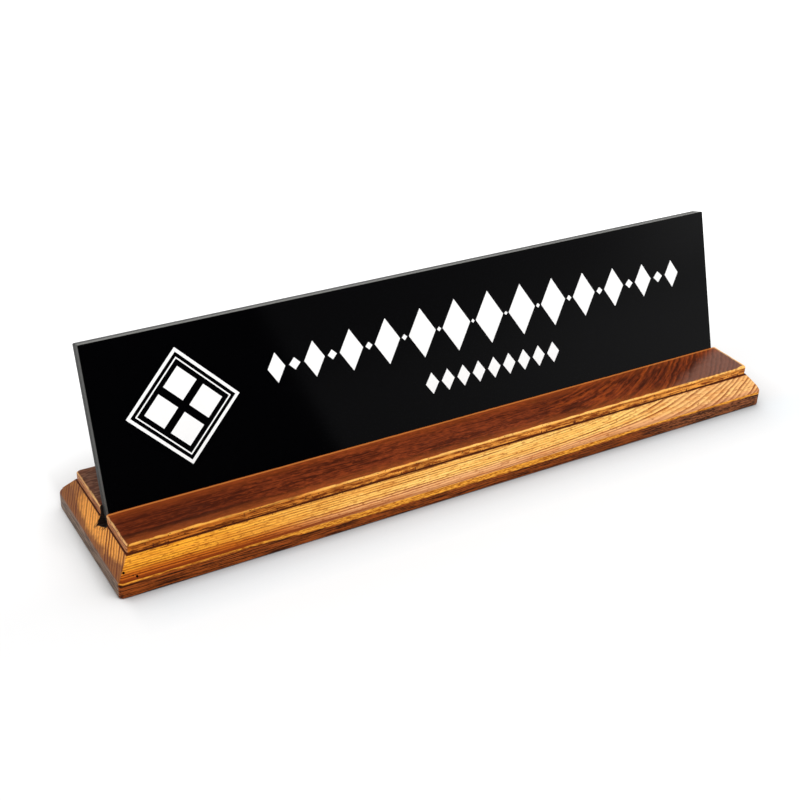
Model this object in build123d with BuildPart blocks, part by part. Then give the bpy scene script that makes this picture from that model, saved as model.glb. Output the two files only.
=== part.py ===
"""Desk name plate: a moulded pine base with a leaning slot, and a plate of two bonded acrylic sheets in it.

Millimetres, +Z up. X runs along the plate and the front faces -Y. The origin is the middle of the
base's underside. The plate leans back and lifts out of its slot along its own plane.
"""
import math
import os

from build123d import *

# Base board
base_length = 305.0
base_depth = 66.0
base_height = 18.5
corner_radius = 2.0
foot_ease = 0.9

# Moulding that runs round all four sides, from the lip up to the flat top
lip_height = 6.9
shoulder_inset = 0.4
shoulder_rise = 1.15
step_height = 14.35
slope_run = 5.55
quirk_width = 0.3
top_ease = 0.9

# Plate: the black face sheet and the sheet bonded behind it
plate_length = 290.0
plate_height = 68.1
plate_shift = -0.7
plate_lean = 18.0
face_thickness = 3.0
backing_thickness = 3.0
sheet_corner = 0.5

# Slot that holds the plate
slot_front = -6.0
slot_depth = 5.0
slot_clearance = 0.2

plate_thickness = face_thickness + backing_thickness
slot_width = plate_thickness + 2 * slot_clearance
lean_cos = math.cos(math.radians(plate_lean))
lean_sin = math.sin(math.radians(plate_lean))


def moulded_section(span):
    """Outline of the board cut across: the right half from the middle of the underside, then its mirror."""
    edge = span / 2
    slope_foot = (edge - shoulder_inset, lip_height + shoulder_rise)
    slope_head = (edge - slope_run, step_height)
    fillet_foot = (edge - slope_run - quirk_width, step_height)
    fillet_head = (edge - slope_run - quirk_width, base_height - top_ease)
    with BuildLine() as half:
        Line((0, 0), (edge, 0))
        lip = Line((edge, 0), (edge, lip_height))
        shoulder = TangentArc(lip @ 1, slope_foot, tangent=lip % 1)
        TangentArc(slope_foot, slope_head, tangent=shoulder % 1)
        Line(slope_head, fillet_foot)
        Line(fillet_foot, fillet_head)
        RadiusArc(fillet_head, (fillet_head[0] - top_ease, base_height), -top_ease)
        Line((fillet_head[0] - top_ease, base_height), (0, base_height))
        mirror(about=Plane.YZ)
    return half


# Base: the section along the board meets the same section across its ends, which mitres the moulding
side_section = moulded_section(base_depth)
end_section = moulded_section(base_length)
across_plate = Plane(origin=(0, slot_front, base_height), x_dir=(0, lean_cos, -lean_sin), z_dir=(1, 0, 0))

with BuildPart() as base:
    with BuildSketch(Plane.YZ):
        add(side_section.line)
        make_face()
    extrude(amount=base_length / 2, both=True)
    with BuildSketch(Plane.XZ):
        add(end_section.line)
        make_face()
    extrude(amount=base_depth / 2, both=True, mode=Mode.INTERSECT)
    with BuildSketch(Plane.XY):
        RectangleRounded(base_length, base_depth, corner_radius)
    extrude(amount=base_height, mode=Mode.INTERSECT)
    fillet(base.faces().sort_by(Axis.Z)[0].edges(), foot_ease)
    with BuildSketch(across_plate):
        with Locations((-slot_clearance, -slot_depth)):
            Rectangle(slot_width, slot_depth + slot_width, align=(Align.MIN, Align.MIN))
    extrude(amount=base_length / 2, both=True, mode=Mode.SUBTRACT)
base.part.label = "base"


def leaning_plane(depth):
    """Plane of the plate at a depth behind its front face, with its Y running up the plate from the slot floor."""
    origin = Vector(plate_shift, slot_front, base_height)
    up_plate = Vector(0, lean_sin, lean_cos)
    back = Vector(0, lean_cos, -lean_sin)
    return Plane(origin=origin - up_plate * slot_depth + back * depth, x_dir=(1, 0, 0), z_dir=-back)


# Face sheet: the front of the plate, standing on the slot floor
with BuildPart() as face_sheet:
    with BuildSketch(leaning_plane(face_thickness)):
        with Locations((0, plate_height / 2)):
            RectangleRounded(plate_length, plate_height, sheet_corner)
    extrude(amount=face_thickness)
face_sheet.part.label = "face_sheet"

# Backing sheet: the same outline, bonded flat to the back of the face sheet
with BuildPart() as backing_sheet:
    with BuildSketch(leaning_plane(plate_thickness)):
        with Locations((0, plate_height / 2)):
            RectangleRounded(plate_length, plate_height, sheet_corner)
    extrude(amount=backing_thickness)
backing_sheet.part.label = "backing_sheet"

os.makedirs("parts", exist_ok=True)
export_step(base.part, "parts/base.step")
export_step(face_sheet.part, "parts/face_sheet.step")
export_step(backing_sheet.part, "parts/backing_sheet.step")
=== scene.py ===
import math
import random

import bmesh
import bpy
from mathutils import Matrix, Vector, noise


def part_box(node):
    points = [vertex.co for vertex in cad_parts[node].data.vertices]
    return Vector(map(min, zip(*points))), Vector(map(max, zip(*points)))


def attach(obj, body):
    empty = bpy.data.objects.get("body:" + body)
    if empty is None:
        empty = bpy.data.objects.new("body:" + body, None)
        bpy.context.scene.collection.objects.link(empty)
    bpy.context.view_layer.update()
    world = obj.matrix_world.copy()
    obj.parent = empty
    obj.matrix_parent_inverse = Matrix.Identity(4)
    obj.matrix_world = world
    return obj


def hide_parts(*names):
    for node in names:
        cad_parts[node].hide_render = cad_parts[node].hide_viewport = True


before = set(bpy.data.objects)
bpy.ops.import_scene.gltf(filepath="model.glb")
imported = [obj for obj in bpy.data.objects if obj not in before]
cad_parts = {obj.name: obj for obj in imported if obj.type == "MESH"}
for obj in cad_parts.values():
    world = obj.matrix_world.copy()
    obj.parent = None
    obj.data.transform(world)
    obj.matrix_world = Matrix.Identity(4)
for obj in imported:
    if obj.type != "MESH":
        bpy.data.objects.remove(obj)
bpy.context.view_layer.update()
scene = bpy.context.scene
scene.view_settings.view_transform = "Standard"

# Camera
# It stands to the reader's left of the plate and well above the desk, and is turned a little about its own
# line of sight.
camera_place = Vector((-0.26801, -0.40181, 0.30379))
camera_heading = math.radians(31.742)
camera_pitch = math.radians(30.073)
camera_roll = math.radians(2.489)
camera_lens = 60.63

camera = bpy.data.objects.new("camera", bpy.data.cameras.new("camera"))
camera.data.lens = camera_lens
camera.matrix_world = (
    Matrix.Translation(camera_place)
    @ Matrix.Rotation(-camera_heading, 4, "Z")
    @ Matrix.Rotation(math.pi / 2 - camera_pitch, 4, "X")
    @ Matrix.Rotation(camera_roll, 4, "Z")
)
scene.collection.objects.link(camera)
scene.camera = camera

# Wooden base
# One length of pine board, moulded with a cutter round all four sides, stained dark brown and rubbed back
# to the golden wood on the slopes and along the edges. A leaning slot is sawn through it from end to end.
mm = 0.001
base_low, base_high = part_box("base")
base_length = base_high.x - base_low.x
base_depth = base_high.y - base_low.y
base_top = base_high.z
corner_radius = 2.0 * mm
foot_ease = 0.9 * mm
lip_top = 6.9 * mm
shoulder = (0.4 * mm, 8.05 * mm)
slope_head = (5.55 * mm, 14.35 * mm)
fillet_inset = 5.85 * mm
top_ease = 0.9 * mm
mitre_ease = 0.2 * mm
block_ease = 1.1 * mm
corner_steps = 7
foot_steps = 4
shoulder_steps = 5
slope_steps = 14
rounded_steps = 3
fillet_steps = 4
top_steps = 5
mitre_steps = 3
column_width = 1.3 * mm
same_place = 0.01 * mm
arris_wear = 0.35 * mm
arris_reach = 0.6 * mm
surface_wave = 0.05 * mm
sharp_bend = math.radians(35)
plate_lean = math.radians(18.0)
slot_front = -6.0 * mm
slot_depth = 5.0 * mm
slot_clearance = 0.2 * mm
plate_thickness = 6.0 * mm
slot_exit = -147.6 * mm
tear_count = 34
tear_turns = (-80, 100)
tear_tilt = 0.5
tear_scatter = (0.9 * mm, 0.5 * mm, 0.5 * mm)
tear_sizes = ((1.0, 2.4), (0.4, 1.0), (0.4, 1.0))
hole_slant = math.radians(50)
hole_depth = 4 * mm
worm_holes = (
    (-149.8 * mm, 10.0 * mm, 0.5 * mm),
    (-145.4 * mm, 8.1 * mm, 0.5 * mm),
    (-146.7 * mm, 8.7 * mm, 0.25 * mm),
)


def arc_up(start, finish, lean, steps):
    """Points (inset, level) on the arc that leaves start at a lean from upright, and its lean at the end."""
    chord = Vector(finish) - Vector(start)
    half_turn = math.atan2(chord.x, chord.y) - lean
    points = []
    for i in range(steps):
        turn = half_turn * (i + 1) / steps
        reach = chord.length * math.sin(turn) / math.sin(half_turn)
        points.append((start[0] + reach * math.sin(lean + turn), start[1] + reach * math.cos(lean + turn)))
    return points, lean + 2 * half_turn


def highest_face(bm):
    return max(bm.faces, key=lambda face: face.calc_center_median().z)


def step_in(bm, levels):
    """Raises the top face through (inset, level) points, leaving a band of moulding round it at each."""
    top = highest_face(bm)
    for (inset, level), (next_inset, next_level) in zip(levels, levels[1:]):
        bmesh.ops.inset_individual(
            bm, faces=[top], thickness=next_inset - inset, depth=next_level - level, use_even_offset=True
        )


def square_corners(bm, inset):
    """Draws each rounded corner of the top face to a point, where the moulding's mitre starts."""
    for side_x in (-1, 1):
        for side_y in (-1, 1):
            arc = [v for v in highest_face(bm).verts if v.co.x * side_x > 0 and v.co.y * side_y > 0]
            corner = (side_x * (base_length / 2 - inset), side_y * (base_depth / 2 - inset), arc[0].co.z)
            bmesh.ops.pointmerge(bm, verts=arc, merge_co=corner)


def cut_columns(bm, axis, span):
    """Cuts every edge that runs the whole span of the board into short lengths."""
    runs = [(e, e.verts[1].co - e.verts[0].co) for e in bm.edges]
    long_runs = [e for e, run in runs if abs(run[axis]) > span / 2 and abs(run[axis]) > 0.99 * run.length]
    bmesh.ops.subdivide_edges(bm, edges=long_runs, cuts=round(span / column_width), use_grid_fill=True)


def on_mitre(vert):
    from_end = base_length / 2 - abs(vert.co.x)
    from_side = base_depth / 2 - abs(vert.co.y)
    return abs(from_end - from_side) < 2 * same_place


def wear(vert):
    """How far handling and sanding have taken a point of the moulding below its true line."""
    place = vert.co / mm
    level = vert.co.z
    wave = surface_wave * noise.noise(Vector((place.x * 0.06, place.y * 0.2, place.z * 0.3)))
    near_top = max(0.0, 1 - abs(level - base_top + arris_reach / 2) / arris_reach)
    near_lip = max(0.0, 1 - abs(level - lip_top) / arris_reach)
    chips = max(0.0, noise.noise(Vector((place.x * 0.35, place.y * 0.35, place.z * 0.1))) - 0.15)
    return wave + arris_wear * (near_top + 0.6 * near_lip) * chips


bm = bmesh.new()
lip_block = Matrix.Translation((0, 0, lip_top / 2)) @ Matrix.Diagonal((base_length, base_depth, lip_top, 1))
bmesh.ops.create_cube(bm, size=1, matrix=lip_block)
uprights = [e for e in bm.edges if abs(e.verts[0].co.z - e.verts[1].co.z) > mm]
bmesh.ops.bevel(
    bm, geom=uprights, offset=corner_radius, segments=corner_steps, profile=0.5, affect="EDGES", material=-1
)
foot_edges = [e for e in bm.edges if max(v.co.z for v in e.verts) < same_place]
bmesh.ops.bevel(
    bm, geom=foot_edges, offset=foot_ease, segments=foot_steps, profile=0.5, affect="EDGES", material=-1
)
shoulder_arc, slope_lean = arc_up((0, lip_top), shoulder, 0, shoulder_steps)
slope_arc, _ = arc_up(shoulder, slope_head, slope_lean, slope_steps)
step_in(bm, [(0, lip_top)] + shoulder_arc + slope_arc[:rounded_steps])
mitre_foot = slope_arc[rounded_steps - 1]
square_corners(bm, mitre_foot[0])
step_in(bm, slope_arc[rounded_steps - 1:])
fillet_head = base_top - top_ease
fillet_rise = (fillet_head - slope_head[1]) / fillet_steps
fillet_wall = [(fillet_inset, slope_head[1] + fillet_rise * i) for i in range(fillet_steps + 1)]
step_in(bm, [slope_head] + fillet_wall)
top_arc, _ = arc_up((fillet_inset, fillet_head), (fillet_inset + top_ease, base_top), 0, top_steps)
step_in(bm, [(fillet_inset, fillet_head)] + top_arc)
cut_columns(bm, 0, base_length)
cut_columns(bm, 1, base_depth)
for low, high, ease in ((mitre_foot[1], slope_head[1], mitre_ease), (slope_head[1], base_top, block_ease)):
    mitres = [e for e in bm.edges if on_mitre(e.verts[0]) and on_mitre(e.verts[1])]
    mitres = [e for e in mitres if abs(e.verts[0].co.z - e.verts[1].co.z) > same_place / 10]
    mitres = [e for e in mitres if all(low - same_place < v.co.z < high + same_place for v in e.verts)]
    bmesh.ops.bevel(
        bm, geom=mitres, offset=ease, segments=mitre_steps, profile=0.5, affect="EDGES", material=-1
    )
bm.normal_update()
for vert in bm.verts:
    if vert.co.z > 2 * foot_ease:
        vert.co -= vert.normal * wear(vert)
board_mesh = bpy.data.meshes.new("board")
bm.to_mesh(board_mesh)
bm.free()
board = bpy.data.objects.new("board", board_mesh)
scene.collection.objects.link(board)

plate_frame = Matrix.Translation((0, slot_front, base_top)) @ Matrix.Rotation(-plate_lean, 4, "X")
random.seed(7)
bm = bmesh.new()
saw_size = (2 * base_length, plate_thickness + 2 * slot_clearance, 2 * slot_depth, 1)
saw_cut = Matrix.Translation((0, plate_thickness / 2, 0)) @ Matrix.Diagonal(saw_size)
bmesh.ops.create_cube(bm, size=1, matrix=plate_frame @ saw_cut)
for i in range(tear_count):
    # Splinters are torn out of the board's end round the mouth of the slot, most of all under its back wall
    turn = math.radians(random.uniform(*tear_turns))
    reach = plate_thickness / 2 * math.cos(turn)
    drop = slot_depth / 2 * (1 + math.sin(turn))
    rim = Vector((slot_exit, plate_thickness / 2 + reach, -drop))
    scatter = Vector([random.uniform(-1, 1) * spread for spread in tear_scatter])
    size = Vector([random.uniform(*sizes) * mm for sizes in tear_sizes])
    turned = Matrix.Rotation(random.uniform(-tear_tilt, tear_tilt), 4, "Y") @ Matrix.Diagonal((*size, 1))
    chip = Matrix.Translation(rim + scatter) @ turned
    bmesh.ops.create_icosphere(bm, subdivisions=1, radius=1, matrix=plate_frame @ chip)
for hole_x, hole_z, hole_radius in worm_holes:
    hole_share = (hole_z - shoulder[1]) / (slope_head[1] - shoulder[1])
    hole_inset = shoulder[0] + (slope_head[0] - shoulder[0]) * hole_share
    bore = Matrix.Translation((hole_x, hole_inset - base_depth / 2, hole_z))
    bore = bore @ Matrix.Rotation(hole_slant, 4, "X")
    bmesh.ops.create_cone(
        bm, cap_ends=True, segments=9, radius1=hole_radius, radius2=hole_radius, depth=hole_depth, matrix=bore
    )
cutter_mesh = bpy.data.meshes.new("cutter")
bm.to_mesh(cutter_mesh)
bm.free()
cutter = bpy.data.objects.new("cutter", cutter_mesh)
scene.collection.objects.link(cutter)
cut = board.modifiers.new("slot", "BOOLEAN")
cut.operation = "DIFFERENCE"
cut.solver = "EXACT"
cut.object = cutter
cut.material_mode = "TRANSFER"
cut.use_self = True


class Field:
    """A number that varies over a surface, held as a node's output, on which plain arithmetic works."""

    def __init__(self, finish, socket):
        self.finish = finish
        self.socket = socket

    def __add__(self, other):
        return self.finish.reckon("ADD", self, other)

    def __sub__(self, other):
        return self.finish.reckon("SUBTRACT", self, other)

    def __rsub__(self, other):
        return self.finish.reckon("SUBTRACT", other, self)

    def __mul__(self, other):
        return self.finish.reckon("MULTIPLY", self, other)

    def __truediv__(self, other):
        return self.finish.reckon("DIVIDE", self, other)

    def __pow__(self, other):
        return self.finish.reckon("POWER", self, other)

    def __abs__(self):
        return self.finish.reckon("ABSOLUTE", self)

    __radd__ = __add__
    __rmul__ = __mul__


class Finish:
    """A material on the Principled shader, and the few kinds of node that the finishes here are made of."""

    def __init__(self, name, **settings):
        self.material = bpy.data.materials.new(name)
        self.material.use_nodes = True
        self.nodes = self.material.node_tree.nodes
        self.shader = self.nodes["Principled BSDF"]
        for setting, value in settings.items():
            self.give(setting.replace("_", " "), value)

    def feed(self, socket, value):
        if isinstance(value, Field):
            self.material.node_tree.links.new(value.socket, socket)
        else:
            socket.default_value = value

    def give(self, name, value):
        self.feed(self.shader.inputs[name], value)

    def place(self):
        """Millimetres along X, Y and Z in the shared frame."""
        coordinates = self.nodes.new("ShaderNodeTexCoord").outputs["Object"]
        parts = self.nodes.new("ShaderNodeSeparateXYZ")
        self.feed(parts.inputs[0], Field(self, coordinates))
        return [Field(self, part) * 1000 for part in parts.outputs]

    def reckon(self, operation, *values):
        node = self.nodes.new("ShaderNodeMath")
        node.operation = operation
        for socket, value in zip(node.inputs, values):
            self.feed(socket, value)
        return Field(self, node.outputs[0])

    def rise(self, value, low, high):
        """0 at low and 1 at high, with a smooth step between, also where high is the lesser."""
        node = self.nodes.new("ShaderNodeMapRange")
        node.interpolation_type = "SMOOTHSTEP"
        for name, given in (("Value", value), ("From Min", low), ("From Max", high)):
            self.feed(node.inputs[name], given)
        return Field(self, node.outputs["Result"])

    def cloud(self, x, y, z, detail=2.0, roughness=0.5):
        """Noise about 0.5, at coordinates that are already divided by the size of its patches."""
        joined = self.nodes.new("ShaderNodeCombineXYZ")
        for socket, value in zip(joined.inputs, (x, y, z)):
            self.feed(socket, value)
        node = self.nodes.new("ShaderNodeTexNoise")
        self.feed(node.inputs["Vector"], Field(self, joined.outputs[0]))
        for name, value in (("Scale", 1.0), ("Detail", detail), ("Roughness", roughness)):
            self.feed(node.inputs[name], value)
        return Field(self, node.outputs["Fac"])

    def coat(self, amount, under, over):
        """One colour laid over another, where each is a colour or an earlier coat."""
        node = self.nodes.new("ShaderNodeMix")
        node.data_type = "RGBA"
        for index, value in ((0, amount), (6, under), (7, over)):
            self.feed(node.inputs[index], value)
        return Field(self, node.outputs[2])

    def ray(self, kind):
        """1 for light rays of one kind, such as those that the camera sees, and 0 for the rest."""
        return Field(self, self.nodes.new("ShaderNodeLightPath").outputs[kind])

    def seen(self):
        """1 where the camera sees a surface, straight or by way of a glossy or clear one."""
        straight_or_mirrored = self.reckon("MAXIMUM", self.ray("Is Camera Ray"), self.ray("Is Glossy Ray"))
        return self.reckon("MAXIMUM", straight_or_mirrored, self.ray("Is Transmission Ray"))

    def emboss(self, height, depth):
        """Bumps as deep as the given depth where the height goes from 0 to 1."""
        node = self.nodes.new("ShaderNodeBump")
        self.feed(node.inputs["Distance"], depth)
        self.feed(node.inputs["Height"], height)
        self.give("Normal", Field(self, node.outputs["Normal"]))


def shade(red, green, blue):
    """A colour in everyday 0 to 255 values, turned into the linear ones that shaders take."""
    parts = [part / 255 for part in (red, green, blue)]
    return [p / 12.92 if p <= 0.04045 else ((p + 0.055) / 1.055) ** 2.4 for p in parts] + [1.0]


pine = Finish("stained_pine", Specular_IOR_Level=0.1, Specular_Tint=(1.0, 0.6, 0.35, 1.0))
x, y, z = pine.place()
lip_level = lip_top / mm
quirk_level = slope_head[1] / mm
top_level = base_top / mm
from_end = base_length / 2 / mm - abs(x)
from_side = base_depth / 2 / mm - abs(y)
inset = pine.reckon("MINIMUM", from_end, from_side)
on_end = pine.rise(from_side - from_end - pine.rise(z, lip_level + 1.1, lip_level - 0.4), -0.2, 0.3)
on_top = pine.rise(z, top_level - 0.4, top_level - 0.05)
to_left = pine.rise(x, -10, -130)
to_right = pine.rise(x, 75, 115)
fibre = pine.cloud(x / 12, y / 1.5, z / 1.2, detail=3, roughness=0.6)
strand = pine.cloud(x / 3.5, y / 1.1, z / 0.8, detail=1)
streak = pine.cloud(x / 14, y / 1.1, z / 0.4, detail=1)
pores = pine.cloud(x / 2.2, y / 0.6, z / 0.45, detail=1)
drift = pine.cloud(x / 90, y / 12, z / 12) - 0.5
ragged = pine.cloud(x / 5, y / 2.5, z / 2.5, detail=4) - 0.5
blotch = pine.cloud(x / 20, y / 4, z / 4, detail=3)


def growth_rings(phase, length):
    """The dark late wood of each ring, which comes on slowly and stops short, and is stronger in some."""
    share = pine.reckon("FRACT", phase)
    band = pine.rise(share, 0.1, 0.75) * pine.rise(share, 1.0, 0.82)
    strength = pine.cloud(pine.reckon("FLOOR", phase) * 1.37, length, 0.5)
    return band * (pine.rise(strength, 0.34, 0.66) * 0.68 + 0.32)


# Rings run along the board, and sweep up to the back where it was cut near a knot at its right-hand end
sweep = y - pine.reckon("MAXIMUM", x - 38, 0) ** 2 * 0.0052
fan = pine.reckon("MAXIMUM", x + 50, 0) ** 2 * 0.0002
fan = fan + pine.reckon("MAXIMUM", x - 50, 0) ** 3 * 0.000014
line_gap = 0.68 + pine.rise(x, 50, 135) * 0.85
slope_rings = growth_rings((z - 8 - fan) / line_gap + drift * 2.5 + ragged * 0.25, x / 40)
end_rings = growth_rings((y - z * 1.5) / 2.4 + drift + ragged * 0.45, x / 50)
top_rings = growth_rings(sweep / 2.7 + drift * 2.5 + ragged * 0.6, x / 50)
top_streak = pine.cloud(x / 18, sweep / 0.8, 3.5)
top_blotch = pine.cloud(x / 24, sweep / 3.5, 7.5)
top_fleck = pine.cloud(x / 2.6, sweep / 0.65, 9.5, detail=1)
flame = pine.cloud(x / 13, sweep / 1.8, 11.5, detail=3)

# The slopes, rubbed back to gold, with stain left in their rings, and more along their foot
to_fan = pine.rise(x, 60, 120)
early = pine.coat(to_left, shade(255, 204, 112), shade(247, 169, 47))
warm_band = pine.cloud(x / 55, 2.5, (z - fan) / 1.1, detail=1)
early = pine.coat(pine.rise(warm_band, 0.45, 0.62) * 0.35, early, shade(230, 148, 52))
early = pine.coat(to_fan * 0.85, early, shade(242, 184, 120))
late = pine.coat(to_left, shade(112, 52, 12), shade(100, 36, 2))
late = pine.coat(to_fan, late, shade(128, 64, 30))
low_left = pine.rise(z + ragged * 1.6, 12.0, 8.8) * pine.rise(x, -55, -125)
early = pine.coat(low_left * 0.55, early, shade(184, 98, 16))
at_foot = pine.rise(z + ragged * 1.4 + drift * 2, 10.7 - to_right * 1.7, 8.7 - to_right) * 0.85
to_pink = pine.rise(x, -100, -40)
early = pine.coat(at_foot, early, pine.coat(to_pink, shade(178, 84, 18), shade(226, 164, 114)))
late = pine.coat(at_foot, late, pine.coat(to_pink, shade(84, 26, 4), shade(150, 84, 54)))
soft_rings = 1 - to_left * pine.rise(z + ragged * 2, 10.2, 12.2) * 0.4
gold = pine.coat(slope_rings * soft_rings, early, late)
warm_fibre = pine.coat(to_left, shade(196, 114, 40), shade(176, 90, 14))
gold = pine.coat(pine.rise(fibre, 0.48, 0.66) * 0.35, gold, warm_fibre)
dark_strand = pine.coat(to_left, shade(158, 82, 26), shade(142, 64, 8))
gold = pine.coat(pine.rise(strand, 0.42, 0.26) * 0.4, gold, dark_strand)
pale_strand = pine.rise(strand, 0.58, 0.74) * 0.3 * (1 - at_foot) * (1 - to_left)
gold = pine.coat(pale_strand, gold, shade(255, 214, 132))
pore_stain = pine.coat(to_left, shade(136, 66, 16), shade(112, 46, 4))
gold = pine.coat(pine.rise(pores, 0.42, 0.3) * 0.6, gold, pore_stain)

# The lip: a golden band under its arris, deepest at the middle of the board, over streaked brown
lip_grain = pine.rise(streak * 0.75 + pores * 0.25, 0.39, 0.61)
lip_brown = pine.coat(lip_grain, shade(50, 16, 2), shade(152, 73, 25))
grey_grain = pine.rise(streak * 0.5 + pores * 0.5, 0.41, 0.59)
lip_greyed = pine.coat(grey_grain, shade(36, 16, 8), shade(156, 93, 57))
lip_brown = pine.coat(to_right * 0.8, lip_brown, lip_greyed)
lip_brown = pine.coat(pine.rise(x, 30, 60) * 0.15, lip_brown, shade(60, 30, 16))
gold_grain = pine.rise(streak * 0.45 + pores * 0.55, 0.39, 0.61)
lip_gold = pine.coat(gold_grain, shade(160, 84, 16), shade(250, 172, 60))
lip_gold = pine.coat(to_left * 0.2, lip_gold, shade(140, 66, 10))
band_foot = 4.5 + pine.rise(x, -60, -110) * 1.8 + pine.rise(x, 30, 95) * 1.5
lip_wood = pine.coat(pine.rise(z + ragged * 1.1, band_foot - 0.25, band_foot + 0.25), lip_brown, lip_gold)
side = pine.coat(pine.rise(z, lip_level + 0.3, lip_level - 0.1), gold, lip_wood)
# A dark line where the slopes meet the lip: painted shade of the crease, strongest at the left
foot_line = pine.rise(abs(z - 7.6 + ragged * 0.4), 0.8, 0.25) * (0.25 + pine.rise(x, 10, -70) * 0.6)
crease_shade = pine.coat(pine.rise(x, -20, -90), shade(150, 84, 44), shade(110, 40, 10))
side = pine.coat(foot_line, side, crease_shade)

# The ends: end grain, in slanting stripes that the stain has browned towards the corners, and on the lip a
# painted grey sheen, a reflection of the white floor
end_wood = pine.coat(end_rings, shade(252, 170, 80), shade(104, 44, 14))
end_wood = pine.coat(pine.rise(strand, 0.55, 0.72) * 0.3, end_wood, shade(160, 78, 34))
low_stain = pine.rise(z + ragged * 4 - abs(y) * 0.07, 10.2, 7.8)
corner_stain = pine.rise(abs(y + 5) + ragged * 16, 15, 29) * 0.8
browned = pine.reckon("MINIMUM", low_stain + corner_stain, 1.0)
end_wood = pine.coat(browned * 0.8, end_wood, shade(100, 52, 40))
end_streak = pine.cloud(0.5, y / 6, z / 0.45, detail=2)
# The end lip's grey is a painted sheen: the reflection of the white floor and studio
end_lip_sheen = pine.coat(pine.rise(end_streak, 0.38, 0.62), shade(76, 58, 47), shade(138, 112, 93))
end_wood = pine.coat(pine.rise(z + ragged * 0.6, 7.6, 6.8), end_wood, end_lip_sheen)
slot_floor = (base_top - slot_depth / math.cos(plate_lean)) / mm
below_slot = slot_floor - (y - slot_front / mm) * math.tan(plate_lean) - z
# Dark streaks under the slot's mouth: torn splinters, and painted shade of the torn hollow
splinters_and_shade = pine.rise(abs(y + 4.5), 4.5, 3) * pine.rise(below_slot, 1.5, 0.4)
splinters_and_shade = splinters_and_shade * pine.rise(pine.cloud(0.5, y / 0.55, z / 1.6, detail=1), 0.47, 0.54)
end_wood = pine.coat(splinters_and_shade * 0.85, end_wood, shade(52, 22, 10))
stain = pine.coat(on_end, side, end_wood)

# The fillet, and the quirk under it, which keeps the stain and lets it creep up in nicks, and is darkened
# also by painted shade of the inner corner
fillet_grain = pine.rise(streak * 0.45 + blotch * 0.15 + strand * 0.4, 0.4, 0.6)
fillet = pine.coat(fillet_grain, shade(244, 162, 68), shade(124, 54, 12))
left_fillet = pine.coat(fillet_grain, shade(190, 100, 24), shade(68, 24, 3))
fillet = pine.coat(pine.rise(x, -10, -125) * 0.8, fillet, left_fillet)
fillet = pine.coat(pine.rise(abs(z - 16.9 + ragged * 0.4), 0.75, 0.2) * 0.45, fillet, shade(132, 62, 16))
end_fillet = pine.coat(pine.rise(end_streak, 0.4, 0.62), shade(132, 78, 50), shade(218, 148, 94))
fillet = pine.coat(on_end * 0.85, fillet, end_fillet)
stain = pine.coat(pine.rise(z, quirk_level, quirk_level + 0.35), stain, fillet)
nicks = pine.rise(pine.cloud(x / 0.9, 0.5, 0.5, detail=1), 0.64, 0.7) * 1.4
nicks = nicks * pine.rise(z, quirk_level - 0.05, quirk_level + 0.15)
quirk_spread = pine.cloud(x / 9, y / 9, 0.5, detail=3) * 0.7 + 0.15 + nicks
# The quirk's dark line: stain, and painted shade in the inner corner
quirk_stain_and_shade = pine.rise(abs(z - quirk_level - 0.1), quirk_spread, quirk_spread * 0.4)
stain = pine.coat(quirk_stain_and_shade, stain, shade(78, 32, 13))

# The flat top, where most of the stain stays: paler by the plate and by the rubbed arris, with a painted
# sheen at the right and behind the plate, a reflection of the white studio
# Painted sheen: the grey over the top at the right is the white studio's reflection, laid into the colour,
# rings included
painted_sheen = pine.rise(x - (y + 26) * 2.1 + ragged * 12, 98, 114)
top_grain = pine.rise(top_blotch * 0.35 + top_streak * 0.65, 0.4, 0.6)
top_brown = pine.coat(top_grain, shade(116, 48, 22), shade(72, 25, 9))
top_brown = pine.coat(pine.rise(top_fleck, 0.52, 0.7) * 0.55, top_brown, shade(148, 64, 28))
top_brown = pine.coat(pine.rise(top_fleck, 0.48, 0.32) * 0.55, top_brown, shade(50, 16, 6))
top_brown = pine.coat(pine.rise(x, -70, -120) * 0.5, top_brown, shade(64, 20, 7))
dark_ring = pine.rise(abs(y + 22.3 + ragged * 1.6), 1.5, 0.4) * pine.rise(x, -78, -105)
top_brown = pine.coat(dark_ring * 0.7, top_brown, shade(44, 15, 6))
in_flames = pine.rise(x, 25, 60) * (1 - painted_sheen)
top_brown = pine.coat(pine.rise(flame, 0.52, 0.64) * in_flames * 0.7, top_brown, shade(56, 22, 12))
top_brown = pine.coat(pine.rise(flame, 0.47, 0.36) * in_flames * 0.5, top_brown, shade(164, 74, 26))
top_brown = pine.coat(painted_sheen * 0.75, top_brown, shade(122, 84, 70))
near_plate = pine.rise(y + ragged * 3, -13, -7) * pine.rise(y, 0, -4)
top_brown = pine.coat(near_plate * 0.4, top_brown, shade(166, 76, 28))
near_arris = pine.rise(from_side + ragged * 3, 11.5, 6.8) * (1 - painted_sheen)
top_brown = pine.coat(near_arris * 0.45, top_brown, shade(154, 78, 32))
ring_stain = pine.coat(painted_sheen, shade(54, 20, 8), shade(70, 46, 40))
top_brown = pine.coat(top_rings * to_right * (0.9 - painted_sheen * 0.4), top_brown, ring_stain)
# Behind the plate, a painted greyish sheen over the top: the reflection of the bright studio behind
rear_sheen = pine.coat(pine.rise(top_fleck, 0.4, 0.62), shade(88, 58, 45), shade(130, 93, 72))
top_brown = pine.coat(pine.rise(y + ragged * 4, 0, 6) * 0.65, top_brown, rear_sheen)
slot_line = pine.rise(abs(y - slot_front / mm + 0.8), 0.6, 0.25)
top_brown = pine.coat(slot_line * 0.6, top_brown, shade(216, 132, 62))
stain = pine.coat(on_top, stain, top_brown)

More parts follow.
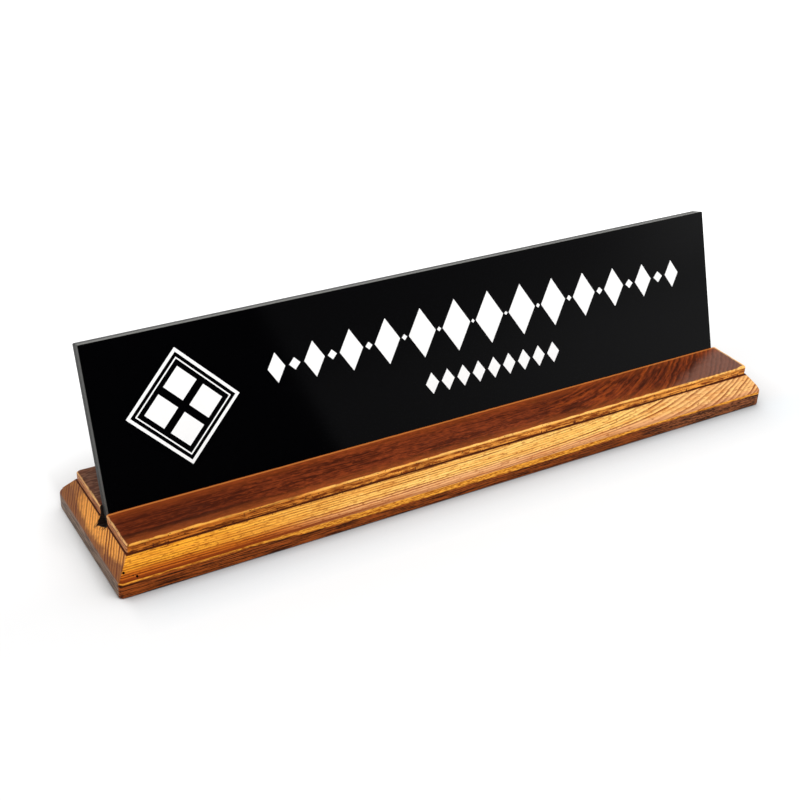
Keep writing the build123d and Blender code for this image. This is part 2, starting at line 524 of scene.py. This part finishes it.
# The top arris, rubbed back to pale wood in a thin uneven line, which the stained rings break at the right
to_far_end = pine.rise(x, 140, 145)
rub_reach = 6.35 + ragged * 0.9 + to_far_end * 0.9
rubbed = pine.rise(z + ragged * 0.5, top_level - 1.05, top_level - 0.6)
rubbed = rubbed * pine.rise(inset, rub_reach + 0.1, rub_reach - 0.3)
rub_strength = pine.rise(pine.cloud(x / 9, y / 9, 0.5, detail=3), 0.3, 0.6) * 0.45 + 0.42
rub_strength = rub_strength * (1 - pine.rise(abs(x + 91), 24, 12) * 0.55)
ring_gaps = pine.rise(top_rings * 0.5 + top_fleck * 0.7, 0.4, 0.6) * to_right * (1 - to_far_end)
rub_strength = rub_strength * (1 - ring_gaps * 0.65)
pale_wood = pine.coat(to_left, shade(252, 194, 104), shade(240, 172, 72))
pale_wood = pine.coat(on_end, pale_wood, shade(255, 200, 128))
stain = pine.coat(rubbed * rub_strength, stain, pale_wood)

# Specks along the fillet and the head of the slopes, which held the stain
specks = pine.rise(pine.cloud(x / 0.9, y / 0.7, z / 0.7, detail=1), 0.66, 0.71)
stain = pine.coat(specks * pine.rise(z, 12.5, 15.0) * (1 - on_top) * 0.85, stain, shade(48, 20, 10))
pine.give("Base Color", stain)
pine.give("Roughness", fibre * 0.25 + 0.36)
pine.emboss(fibre * 0.6 + slope_rings * 0.4, 0.1 * mm)

# The cut faces of the slot, the splinter pits and the holes: stained dark, and painted darker still as the
# shade inside them
sawn = Finish("sawn_pine_painted_shade", Specular_IOR_Level=0.2, Roughness=0.8)
x, y, z = sawn.place()
saw_marks = sawn.cloud(x / 0.6, y / 3, z / 3, detail=3)
sawn.give("Base Color", sawn.coat(saw_marks, shade(8, 4, 2), shade(34, 17, 9)))
sawn.emboss(saw_marks, 0.2 * mm)

board.data.materials.append(pine.material)
cutter.data.materials.append(sawn.material)
depsgraph = bpy.context.evaluated_depsgraph_get()
base_mesh = bpy.data.meshes.new_from_object(board.evaluated_get(depsgraph))


def loose_slivers(bm):
    """Faces of every shell but the largest: the eased corners overlap a little, and the cut frees slivers."""
    shells = []
    reached = set()
    for start in bm.faces:
        if start in reached:
            continue
        reached.add(start)
        shell = [start]
        for face in shell:
            seams = [e for e in face.edges if len(e.link_faces) == 2]
            joined = {f for e in seams for f in e.link_faces} - reached
            reached |= joined
            shell += joined
        shells.append(shell)
    shells.sort(key=len)
    return [face for shell in shells[:-1] for face in shell]


bm = bmesh.new()
bm.from_mesh(base_mesh)
bmesh.ops.delete(bm, geom=loose_slivers(bm), context="FACES")
pinpricks = [e for e in bm.edges if e.is_boundary]
bmesh.ops.edgeloop_fill(bm, edges=pinpricks)
bm.to_mesh(base_mesh)
bm.free()
base_mesh.set_sharp_from_angle(angle=sharp_bend)
base = bpy.data.objects.new("wooden_base", base_mesh)
scene.collection.objects.link(base)
bpy.data.objects.remove(board)
bpy.data.objects.remove(cutter)
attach(base, "base")
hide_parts("base")

# Acrylic sheets
# The plate is two cut sheets of black acrylic bonded face to face, so that both edges show.
# Their faces are as moulded, and their sawn edges are scraped flat, which leaves them grey and matt.
plate_length = 290.0 * mm
plate_height = 68.1 * mm
plate_shift = -0.7 * mm
sheet_thickness = plate_thickness / 2
sheet_corner = 0.5 * mm
scraped_ease = 0.12 * mm


def scraped_edge(name, dark, pale):
    """A sawn edge, scraped, with pale scratches along the top and plain dark down the two ends: painted
    shade, as the ends get less light than the top.
    """
    edge = Finish(name, Specular_IOR_Level=0.2)
    x, y, z = edge.place()
    scratches = edge.cloud(x / 1.4, y / 0.3, z / 1.4, detail=4)
    end_reach = plate_length / 2 / mm
    # The two ends are painted dark: painted shade, not a different scraping
    ends_in_painted_shade = edge.rise(abs(x - plate_shift / mm), end_reach - 0.5, end_reach - 0.2)
    edge.give("Base Color", edge.coat((scratches * 0.7 + 0.2) * (1 - ends_in_painted_shade), dark, pale))
    edge.give("Roughness", scratches * 0.3 + 0.4)
    edge.emboss(scratches, 0.05 * mm)
    return edge


def polished_face(name, tone):
    face = Finish(name, Base_Color=tone, IOR=1.49)
    x, y, z = face.place()
    smudges = face.cloud(x / 40, y / 40, z / 40, detail=4)
    face.give("Roughness", smudges * 0.05 + 0.03)
    return face


def acrylic_sheet(name, front, faces, edges):
    """A sheet that stands in the slot, with its front so far behind the plate's own front."""
    bm = bmesh.new()
    centre = (plate_shift, front + sheet_thickness / 2, plate_height / 2 - slot_depth)
    block = Matrix.Translation(centre) @ Matrix.Diagonal((plate_length, sheet_thickness, plate_height, 1))
    bmesh.ops.create_cube(bm, size=1, matrix=block)
    corners = [e for e in bm.edges if abs(e.verts[0].co.y - e.verts[1].co.y) > sheet_thickness / 2]
    bmesh.ops.bevel(
        bm, geom=corners, offset=sheet_corner, segments=3, profile=0.5, affect="EDGES", material=-1
    )
    outline = [e for e in bm.edges if abs(e.verts[0].co.y - e.verts[1].co.y) < same_place]
    bmesh.ops.bevel(
        bm, geom=outline, offset=scraped_ease, segments=2, profile=0.5, affect="EDGES", material=-1
    )
    for face in bm.faces:
        face.normal_update()
        face.material_index = 0 if abs(face.normal.y) > 0.99 else 1
    bmesh.ops.transform(bm, matrix=plate_frame, verts=bm.verts)
    mesh = bpy.data.meshes.new(name)
    bm.to_mesh(mesh)
    bm.free()
    for finish in (faces, edges):
        mesh.materials.append(finish.material)
    sheet = bpy.data.objects.new(name, mesh)
    scene.collection.objects.link(sheet)
    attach(sheet, "plate")
    return sheet


face_sheet = acrylic_sheet(
    "acrylic_face", 0,
    polished_face("black_acrylic", shade(2, 2, 3)),
    scraped_edge("face_edge", shade(54, 54, 51), shade(120, 120, 116)),
)
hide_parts("face_sheet")
backing_sheet = acrylic_sheet(
    "acrylic_backing", sheet_thickness,
    polished_face("backing_acrylic", shade(5, 5, 6)),
    scraped_edge("backing_edge", shade(11, 11, 10), shade(62, 62, 58)),
)
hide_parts("backing_sheet")

# Vinyl ornament
# Lozenges cut from thin white self-adhesive film and stuck on the plate's face: a framed cross of four at the
# left, a long row that swells towards its middle, with beads between, and a short row of small ones under it.
film_thickness = 0.12 * mm
film_sunk = 0.02 * mm
frame_centre = (-110.7 * mm, 32.5 * mm)
frames = ((22.5 * mm, 1.2 * mm), (18.9 * mm, 0.5 * mm))
cross_reach = 8.8 * mm
cross_size = (6.6 * mm, 6.6 * mm)
row_centre = (26.0 * mm, 38.5 * mm)
row_pitch = 16.3 * mm
row_heights = (6.0, 7.2, 8.4, 9.4, 10.2, 10.8, 11.0, 10.8, 10.2, 9.4, 8.4, 7.2, 6.0)
row_slimness = 0.62
bead_share = 0.3
small_centre = (25.7 * mm, 17.0 * mm)
small_pitch = 7.6 * mm
small_count = 9
small_size = (3.1 * mm, 4.5 * mm)


def lozenge(bm, centre, half_width, half_height):
    """A flat four-cornered face on the front of the film."""
    place = Matrix.Translation((centre[0], film_sunk - film_thickness, centre[1]))
    upright = Matrix.Diagonal((half_width, 1, half_height, 1)) @ Matrix.Rotation(math.radians(90), 4, "X")
    made = bmesh.ops.create_circle(
        bm, cap_ends=True, segments=4, radius=1, matrix=plate_frame @ place @ upright
    )
    return made["verts"][0].link_faces[0]


bm = bmesh.new()
for reach, width in frames:
    outline = lozenge(bm, frame_centre, reach, reach)
    bmesh.ops.inset_individual(bm, faces=[outline], thickness=width, use_even_offset=True)
    bmesh.ops.delete(bm, geom=[outline], context="FACES_ONLY")
for step_u, step_v in ((1, 0), (0, 1), (-1, 0), (0, -1)):
    arm = (frame_centre[0] + step_u * cross_reach, frame_centre[1] + step_v * cross_reach)
    lozenge(bm, arm, *cross_size)
for i, height in enumerate(row_heights):
    offset = row_pitch * (i - (len(row_heights) - 1) / 2)
    lozenge(bm, (row_centre[0] + offset, row_centre[1]), height * row_slimness * mm, height * mm)
for i, (left, right) in enumerate(zip(row_heights, row_heights[1:])):
    gap = row_pitch - (left + right) * row_slimness * mm
    middle = row_pitch * (i - (len(row_heights) - 1) / 2) + left * row_slimness * mm + gap / 2
    lozenge(bm, (row_centre[0] + middle, row_centre[1]), gap * bead_share, gap * bead_share)
for i in range(small_count):
    offset = small_pitch * (i - (small_count - 1) / 2)
    lozenge(bm, (small_centre[0] + offset, small_centre[1]), *small_size)
grown = bmesh.ops.extrude_face_region(bm, geom=bm.faces[:])
into_sheet = plate_frame.to_3x3() @ Vector((0, film_thickness, 0))
bmesh.ops.translate(bm, vec=into_sheet, verts=[g for g in grown["geom"] if isinstance(g, bmesh.types.BMVert)])
bmesh.ops.recalc_face_normals(bm, faces=bm.faces)
film_mesh = bpy.data.meshes.new("vinyl_ornament")
bm.to_mesh(film_mesh)
bm.free()
film = bpy.data.objects.new("vinyl_ornament", film_mesh)
scene.collection.objects.link(film)
white_vinyl = Finish("white_vinyl", Base_Color=shade(243, 243, 242), Roughness=0.45, Specular_IOR_Level=0.3)
film_mesh.materials.append(white_vinyl.material)
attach(film, "plate")

# Floor
# A sheet of white paper under the base and behind it, which ends a little way in front.
floor_near = -0.42
floor_far = 3.0
floor_width = 4.0
paper_glow = 0.3
far_glow = 0.8
white_from = 230 * mm
white_by = 400 * mm
shade_reach = 23 * mm

bm = bmesh.new()
paper = Matrix.Translation((0, (floor_near + floor_far) / 2, 0))
paper = paper @ Matrix.Diagonal((floor_width, floor_far - floor_near, 1, 1))
bmesh.ops.create_grid(bm, x_segments=1, y_segments=1, size=0.5, matrix=paper)
floor_mesh = bpy.data.meshes.new("floor")
bm.to_mesh(floor_mesh)
bm.free()
floor = bpy.data.objects.new("floor", floor_mesh)
scene.collection.objects.link(floor)
paper_white = Finish("white_paper", Roughness=0.9, Specular_IOR_Level=0.0)
seen = paper_white.seen()
# A painted contact shadow: ambient occlusion darkens the paper's colour near the base, less off its left end
# and behind it
shelter = paper_white.nodes.new("ShaderNodeAmbientOcclusion")
shelter.inputs["Distance"].default_value = shade_reach
paper_x, paper_y, _ = paper_white.place()
off_end = paper_white.rise(paper_x, -148, -153)
behind = paper_white.rise(paper_y, 31, 37)
shadow_lifted = paper_white.reckon("MAXIMUM", off_end * 0.65, behind * 0.85)
painted_shadow = (1 - Field(paper_white, shelter.outputs["AO"])) * (1 - shadow_lifted)
# Beside the front of the base the paper is painted a little cooler, to offset the warm light that the wood
# bounces onto it
near_wood = paper_white.rise(paper_y, -26, -38) * paper_white.rise(paper_y, -64, -42)
near_wood = near_wood * paper_white.rise(paper_x, -160, -135)
paper_tone = paper_white.coat(near_wood, shade(234, 234, 234), shade(231, 234, 236))
paper_white.give("Base Color", paper_white.coat(painted_shadow, paper_tone, shade(78, 80, 82)))
paper_white.give("Emission Color", shade(255, 255, 255))
# The paper glows for the camera and in mirrors: white far away, and nearer as painted light that lifts the
# base's shadow behind it and off its left end
glow_behind = paper_white.rise(paper_y, 5, 85)
off_corner = paper_white.rise(paper_y, -30, 40) * 0.5 + paper_white.rise(paper_y, 8, 38) * 0.35
glow_behind = glow_behind + off_end * off_corner * (1 - glow_behind)
squared_distance = paper_x * paper_x + paper_y * paper_y
far_away = paper_white.rise(squared_distance, (white_from / mm) ** 2, (white_by / mm) ** 2)
glow = (1 - painted_shadow) * glow_behind * paper_glow + far_away * far_glow
paper_white.give("Emission Strength", seen * glow)
floor_mesh.materials.append(paper_white.material)

# Light
# A white studio: a pale dome over the object, a large soft lamp above it and in front, and low in front a
# dark screen, with a grey card at its right-hand end, which is all that the plate's glossy face mirrors.
dome_horizon = 0.2
dome_zenith = 1.0
screen_dark = 0.004
card_grey = 0.16
lamp_place = Vector((0.15, -0.75, 1.1))
lamp_size = (1.2, 0.8)
lamp_power = 11.0

studio = bpy.data.worlds.new("studio")
scene.world = studio
studio.use_nodes = True
lamp = bpy.data.objects.new("lamp", bpy.data.lights.new("lamp", "AREA"))
lamp.data.shape = "RECTANGLE"
lamp.data.size, lamp.data.size_y = lamp_size
lamp.data.energy = lamp_power
lamp.location = lamp_place
lamp.rotation_euler = (-lamp_place).to_track_quat("-Z", "Y").to_euler()
lamp.visible_camera = False
scene.collection.objects.link(lamp)


class Studio(Finish):
    """The world's own nodes, with the same kinds of node as a finish."""

    def __init__(self, world):
        self.material = world
        self.nodes = world.node_tree.nodes
        self.shader = self.nodes["Background"]


air = Studio(studio)
parts = air.nodes.new("ShaderNodeSeparateXYZ")
air.feed(parts.inputs[0], Field(air, air.nodes.new("ShaderNodeTexCoord").outputs["Generated"]))
to_side, to_back, height = [Field(air, part) for part in parts.outputs]
white_seen = air.seen()
dome = air.rise(height, -0.2, 1.0) * (dome_zenith - dome_horizon) + dome_horizon
bearing = to_side / air.reckon("MAXIMUM", 0 - to_back, 0.001)
card = air.rise(bearing + height * 0.3, 0.44, 0.455) * card_grey * (air.rise(bearing, 0.45, 0.9) * 0.9 + 0.6)
card = card * (1 - air.rise(height, 0.03, 0.1) * 0.4)
card = card * (1 + air.rise(bearing, 0.72, 0.9) * air.rise(height, 0.05, 0.1) * 1.1) + screen_dark
in_screen = air.rise(0 - to_back, 0.45, 0.55) * air.rise(height, 0.3, 0.2) * air.ray("Is Glossy Ray")
room = white_seen + dome * (1 - white_seen)
air.give("Color", (1, 1, 1, 1))
air.give("Strength", room * (1 - in_screen) + card * in_screen)
